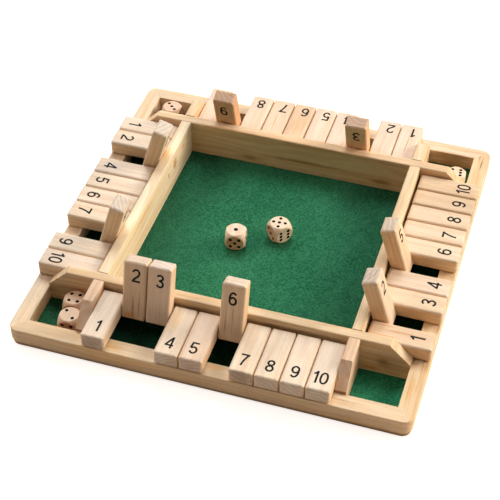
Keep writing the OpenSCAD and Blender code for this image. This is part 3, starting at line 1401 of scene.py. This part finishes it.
    @staticmethod
    def _face_turns() -> list[Matrix]:
        """Turns that bring the upper face to each face.

        Returns:
            One turn for each of the faces one to six.
        """
        quarter = math.radians(90)
        return [
            Matrix.Identity(4),
            Matrix.Rotation(quarter, 4, "X"),
            Matrix.Rotation(quarter, 4, "Y") @ Matrix.Rotation(quarter, 4, "Z"),
            Matrix.Rotation(-quarter, 4, "Y"),
            Matrix.Rotation(-quarter, 4, "X"),
            Matrix.Rotation(2 * quarter, 4, "X"),
        ]


# ---------------------------------------------------------------- studio


@dataclass(frozen=True)
class Lamp:
    """A square soft lamp that points at the board's middle.

    Attributes:
        name: The lamp's name.
        bearing: Its direction seen from above, in degrees from +Y towards +X.
        height: Its angle above the table, in degrees.
        power: Its power in watts.
        tone: Its colour.
        size: Length of its sides.
        distance: How far it stands from the board's middle.
    """

    name: str
    bearing: float
    height: float
    power: float
    tone: Colour = PLAIN
    size: float = 2.6
    distance: float = 6.0

    @property
    def place(self) -> Vector:
        """Where the lamp hangs."""
        turn, rise = math.radians(self.bearing), math.radians(self.height)
        return self.distance * Vector((math.cos(rise) * math.sin(turn),
                                       math.cos(rise) * math.cos(turn), math.sin(rise)))


@dataclass
class Studio:
    """White table and backdrop, soft lamps, and the camera at the photograph's angle.

    Attributes:
        eye: The camera's place.
        yaw: Its turn to the left of +Y, in radians.
        pitch: Its tilt above the horizon, in radians.
        roll: Its roll, in radians.
        focal: Focal length as a share of the picture's width.
        sensor: Width of the camera's sensor, in millimetres.
        clip: Nearest and furthest distance that the camera sees.
        ambient: Strength of the light from all round.
        ambient_tone: Its colour.
        table_reach: Half the width of the table.
        table_drop: How far it lies below the board.
        table_tones: The two colours that its surface varies between.
        table_glow: How much light it sends to the camera by itself, so that it looks white.
        lamps: The lamps.
    """

    TABLE_GRAIN: ClassVar[Pattern] = Pattern(30.0, 3.0)

    eye: Point3 = (0.231728, -0.763150, 0.772582)
    yaw: float = 0.31002
    pitch: float = -0.77018
    roll: float = -0.00683
    focal: float = 2.745132
    sensor: float = 36.0
    clip: Point2 = (0.05, 20.0)
    ambient: float = 0.02
    ambient_tone: Colour = (1.0, 0.9, 0.8)
    table_reach: float = 6.0
    table_drop: float = 0.0003
    table_tones: tuple[Colour, Colour] = ((0.80, 0.66, 0.52), (0.84, 0.70, 0.56))
    table_glow: float = 0.78
    lamps: tuple[Lamp, ...] = (
        Lamp("lamp_back", -9, 56, 213.0, (0.91, 0.98, 1.0)),
        Lamp("lamp_left", -95, 45, 98.0, (1.0, 0.86, 0.78)),
        Lamp("lamp_back_left", -45, 28, 78.0, (0.97, 0.96, 1.0)),
        Lamp("lamp_right_low", 56, 19, 324.0, (1.0, 0.85, 0.68)),
        Lamp("lamp_right", 80, 42, 89.0, (1.0, 0.92, 0.86)),
    )

    def build(self) -> None:
        """Sets up the whole studio."""
        self._camera()
        self._surroundings()
        self._table()
        for lamp in self.lamps:
            self._lamp(lamp)
        bpy.context.scene.view_settings.view_transform = "Standard"

    def _camera(self) -> None:
        """Stands the camera where the photograph was taken from."""
        data = bpy.data.cameras.new("camera")
        data.sensor_width = self.sensor
        data.lens = self.focal * self.sensor
        data.clip_start, data.clip_end = self.clip
        camera = bpy.data.objects.new("camera", data)
        bpy.context.scene.collection.objects.link(camera)
        look = Vector((-math.sin(self.yaw) * math.cos(self.pitch),
                       math.cos(self.yaw) * math.cos(self.pitch), math.sin(self.pitch)))
        level = Vector((math.cos(self.yaw), math.sin(self.yaw), 0.0))
        high = level.cross(look)
        right = level * math.cos(self.roll) + high * math.sin(self.roll)
        up = high * math.cos(self.roll) - level * math.sin(self.roll)
        turned = Matrix((right, up, -look)).transposed().to_4x4()
        camera.matrix_world = Matrix.Translation(self.eye) @ turned
        bpy.context.scene.camera = camera

    def _surroundings(self) -> None:
        """Soft white light from all round, behind a plain white view."""
        world = bpy.data.worlds.new("surroundings")
        world.use_nodes = True
        bpy.context.scene.world = world
        nodes, links = world.node_tree.nodes, world.node_tree.links
        nodes.clear()
        output = nodes.new("ShaderNodeOutputWorld")
        soft = nodes.new("ShaderNodeBackground")
        soft.inputs["Strength"].default_value = self.ambient
        soft.inputs["Color"].default_value = (*self.ambient_tone, 1.0)
        seen = nodes.new("ShaderNodeBackground")
        seen.inputs["Strength"].default_value = 1.0
        seen.inputs["Color"].default_value = (*PLAIN, 1.0)
        mixed = nodes.new("ShaderNodeMixShader")
        links.new(self._seen_ray(world.node_tree), mixed.inputs[0])
        links.new(soft.outputs[0], mixed.inputs[1])
        links.new(seen.outputs[0], mixed.inputs[2])
        links.new(mixed.outputs[0], output.inputs["Surface"])

    @staticmethod
    def _seen_ray(tree: bpy.types.NodeTree) -> Socket:
        """Tells what is seen from what only lights the board.

        Args:
            tree: The node tree that needs it.

        Returns:
            1 for what is seen directly, in gloss or through glass, and 0 for plain light.
        """
        path = tree.nodes.new("ShaderNodeLightPath")
        total = path.outputs["Is Camera Ray"]
        for name in ("Is Glossy Ray", "Is Transmission Ray"):
            node = tree.nodes.new("ShaderNodeMath")
            node.operation = "MAXIMUM"
            tree.links.new(total, node.inputs[0])
            tree.links.new(path.outputs[name], node.inputs[1])
            total = node.outputs[0]
        return total

    def _table(self) -> None:
        """A white table top that keeps a faint shadow of the board."""
        reach = self.table_reach
        corners = [(-reach, -reach, 0), (reach, -reach, 0), (reach, reach, 0), (-reach, reach, 0)]
        sheet = NodeSheet("table_white")
        grain = sheet.noise(sheet.coordinates(), self.TABLE_GRAIN)
        sheet.surface("Base Color", sheet.mix(grain, *self.table_tones))
        sheet.surface("Roughness", 0.9)
        sheet.surface("Specular IOR Level", 0.1)
        lit = sheet.shader.outputs[0]
        glow = sheet.add("ShaderNodeEmission", {"Strength": self.table_glow}).outputs[0]
        added = sheet.add("ShaderNodeAddShader", {0: lit, 1: glow}).outputs[0]
        mixed = sheet.add("ShaderNodeMixShader", {0: self._seen_ray(sheet.tree), 1: lit, 2: added})
        sheet.put(sheet.result, mixed.outputs[0])
        table = add_mesh("table_top", corners, [(0, 1, 2, 3)], sheet.material)
        table.location.z = -self.table_drop

    @staticmethod
    def _lamp(lamp: Lamp) -> None:
        """Hangs one lamp.

        Args:
            lamp: The lamp.
        """
        data = bpy.data.lights.new(lamp.name, "AREA")
        data.shape, data.size, data.energy, data.color = "SQUARE", lamp.size, lamp.power, lamp.tone
        holder = bpy.data.objects.new(lamp.name, data)
        holder.location = lamp.place
        holder.rotation_euler = (-lamp.place).to_track_quat("-Z", "Y").to_euler()
        bpy.context.scene.collection.objects.link(holder)


# ---------------------------------------------------------------- making


RESIN: Colour = (0.58, 0.40, 0.24)
DARK_GRAIN: Colour = (0.66, 0.55, 0.46)
HONEY: Colour = (1.0, 0.86, 0.62)
RUST: Colour = (0.88, 0.66, 0.46)
CREAM: Colour = (1.0, 0.94, 0.80)
# Painted shade on the outer end of a lying front flap, which faces the front.
SHADED_END = Mark((-0.0245, 0.0, 0.0), (0.003, 0.016, 0.012), (0.68, 0.63, 0.58))

TRAY_TONES: dict[str, Colour] = {
    "frame_right": (1.0, 0.95, 0.85),
    "frame_front": (1.0, 0.98, 0.94),
    # The left rail's pale tone is partly its wood's colour and partly painted light on its inner
    # face.
    "rail_left": (1.07, 1.16, 1.28),
    "rail_back": (0.99, 0.94, 0.90),
    "frame_left": (1.03, 1.05, 1.10),
    "rail_front": (0.97, 0.95, 0.94),
    "front_dividers": (0.93, 0.88, 0.96),
}
TRAY_MARKS: dict[str, tuple[Mark, ...]] = {
    "rail_left": (
        Mark((-0.053, 0.0045, 0.004), (0.006, 0.004, 0.008), RESIN),
        Mark((-0.038, 0.0045, 0.003), (0.003, 0.004, 0.004), RESIN),
        Mark((-0.074, 0.0045, 0.007), (0.004, 0.003, 0.003), RUST),
        Mark((-0.050, -0.002, 0.0155), (0.011, 0.005, 0.004), HONEY),
        Mark((0.020, 0.0045, 0.008), (0.050, 0.004, 0.004), HONEY),
    ),
    "rail_back": (
        Mark((0.043, 0.0045, -0.010), (0.016, 0.004, 0.003), DARK_GRAIN),
        Mark((-0.072, 0.0045, -0.009), (0.014, 0.004, 0.004), DARK_GRAIN),
        Mark((-0.005, 0.0045, -0.004), (0.045, 0.004, 0.0022), DARK_GRAIN),
    ),
    "frame_back": (
        # Painted shade on the inner face of the back right pocket's wall.
        Mark((-0.124, 0.0065, 0.000), (0.030, 0.003, 0.030), (0.68, 0.57, 0.45)),
    ),
    "rail_front": (
        Mark((0.113, -0.0045, -0.012), (0.012, 0.003, 0.003), RUST),
        Mark((0.122, -0.0045, -0.003), (0.008, 0.003, 0.006), DARK_GRAIN),
        # Painted shade on the back wall of the front right pocket.
        Mark((0.124, -0.0045, 0.000), (0.024, 0.003, 0.016), (0.84, 0.80, 0.84)),
    ),
    "frame_left": (
        # Painted shade on the inner face of the front left pocket's wall.
        Mark((0.122, 0.0065, 0.000), (0.030, 0.003, 0.030), (0.76, 0.66, 0.52)),
    ),
    "frame_right": (
        Mark((0.137, -0.001, 0.007), (0.012, 0.0009, 0.003), RESIN),
        Mark((0.144, 0.002, 0.007), (0.009, 0.0008, 0.003), RESIN),
        Mark((-0.125, 0.001, 0.007), (0.020, 0.003, 0.004), HONEY),
        Mark((-0.100, -0.002, 0.007), (0.040, 0.0006, 0.002), RUST),
        Mark((-0.118, 0.003, 0.007), (0.024, 0.0006, 0.002), RUST),
    ),
    "frame_front": (
        Mark((0.100, 0.001, 0.007), (0.028, 0.0006, 0.002), RUST),
        Mark((0.080, -0.003, 0.007), (0.020, 0.002, 0.002), HONEY),
        Mark((-0.072, 0.000, 0.007), (0.012, 0.005, 0.003), HONEY),
        Mark((0.006, 0.002, 0.007), (0.010, 0.004, 0.003), HONEY),
    ),
}
ROW_TONES: dict[Side, Colour] = {
    Side.RIGHT: (0.96, 0.92, 0.87),
    Side.BACK: (0.97, 0.93, 0.93),
    Side.LEFT: (0.95, 0.95, 0.95),
}
ROW_NUDGES: dict[Side, Point2] = {Side.BACK: (-0.0015, 0.0014)}
FLAP_LOOKS: dict[Side, dict[int, FlapLook]] = {
    Side.FRONT: {
        1: FlapLook(nudge=(0.0007, 0.0), tone=(1.03, 1.04, 1.06), marks=(SHADED_END,)),
        2: FlapLook(nudge=(0.0012, 0.0016), tone=(0.95, 0.89, 0.84), marks=(
            Mark((0.013, 0.0005, -0.0062), (0.012, 0.0014, 0.003), DARK_GRAIN),
            Mark((0.010, -0.0045, -0.0062), (0.014, 0.0010, 0.003), DARK_GRAIN),
            Mark((0.021, 0.002, -0.0062), (0.006, 0.006, 0.004), RUST),
        )),
        3: FlapLook(nudge=(0.0009, 0.0013), tone=(0.97, 0.95, 0.95)),
        4: FlapLook(marks=(Mark((0.009, 0.003, 0.0062), (0.016, 0.007, 0.005), CREAM),)),
        5: FlapLook(nudge=(-0.0006, 0.0), tone=(0.96, 0.91, 0.88)),
        6: FlapLook(nudge=(0.0, 0.0004), tone=(1.0, 0.95, 0.88), marks=(
            Mark((0.008, 0.0045, -0.0062), (0.018, 0.0008, 0.003), DARK_GRAIN),
            Mark((0.004, -0.001, -0.0062), (0.020, 0.0007, 0.003), DARK_GRAIN),
        )),
        7: FlapLook(nudge=(-0.0006, 0.0), tone=(1.04, 1.04, 1.02), marks=(SHADED_END,)),
        9: FlapLook(nudge=(-0.0006, 0.0)),
        10: FlapLook(nudge=(-0.0006, 0.0)),
    },
    Side.RIGHT: {
        1: FlapLook(tone=(1.0, 0.95, 0.90), marks=(
            Mark((0.010, 0.004, 0.0062), (0.016, 0.0008, 0.002), RUST),
            Mark((-0.002, -0.002, 0.0062), (0.020, 0.0010, 0.002), RUST),
            Mark((0.014, -0.006, 0.0062), (0.012, 0.0010, 0.003), RUST),
        )),
        2: FlapLook(marks=(
            Mark((-0.0245, 0.0, 0.0012), (0.004, 0.014, 0.0006), RUST),
            Mark((-0.0245, 0.0, -0.0026), (0.004, 0.014, 0.0004), RUST),
        )),
        3: FlapLook(tone=(1.0, 0.98, 0.95)),
        5: FlapLook(tone=(1.0, 0.97, 0.93)),
        8: FlapLook(tone=(0.97, 0.94, 0.92)),
        9: FlapLook(tone=(0.89, 0.85, 0.77)),
        10: FlapLook(tone=(0.97, 0.91, 0.82)),
    },
    Side.BACK: {
        1: FlapLook(nudge=(-0.0010, 0.0), marks=(
            Mark((0.004, 0.000, 0.0062), (0.022, 0.0005, 0.002), RESIN),)),
        6: FlapLook(tone=(0.97, 0.91, 0.82), marks=(
            Mark((0.006, 0.0, 0.0062), (0.022, 0.008, 0.005), CREAM),)),
        7: FlapLook(tone=(0.99, 0.96, 0.90),
                    marks=(Mark((0.006, -0.001, 0.0062), (0.018, 0.0008, 0.002), RUST),)),
        8: FlapLook(nudge=(0.0015, 0.0)),
        # Back flap 9's darker, warmer tone is painted shade, taken from its raised inward face in
        # shade.
        9: FlapLook(nudge=(0.0015, -0.0012), tone=(0.87, 0.70, 0.54)),
        3: FlapLook(nudge=(0.0008, -0.0012), tone=(1.0, 0.86, 0.74)),
    },
}


def write_sizes() -> None:
    """Brings the view layer up to date.
    """
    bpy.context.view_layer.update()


def main() -> None:
    """Builds and dresses the board, then the studio."""
    logging.basicConfig(level=logging.INFO, format="%(name)s: %(message)s")
    stamp = NumeralStamp()
    ink = InkFinish("numeral_ink").material()
    Studio().build()
    log.info("studio set up")
    WoodenTray(tones=TRAY_TONES, marks=TRAY_MARKS).dress()
    log.info("frame, rails, dividers and base dressed")
    FeltFloor().build()
    log.info("felt laid")
    SteelFinish().dress(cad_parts["pivot_rods"])
    log.info("rods dressed")
    for side in Side:
        row = FlapRow(side, stamp, ink, FLAP_LOOKS.get(side, {}), ROW_TONES.get(side, PLAIN),
                      ROW_NUDGES.get(side, (0.0, 0.0)))
        row.build()
        row.dress()
        log.info("%s flaps numbered and dressed", side.label)
    dice = DiceSet()
    dice.build()
    dice.dress()
    log.info("dice painted and dressed")
    write_sizes()


if __name__ == "__main__":
    main()
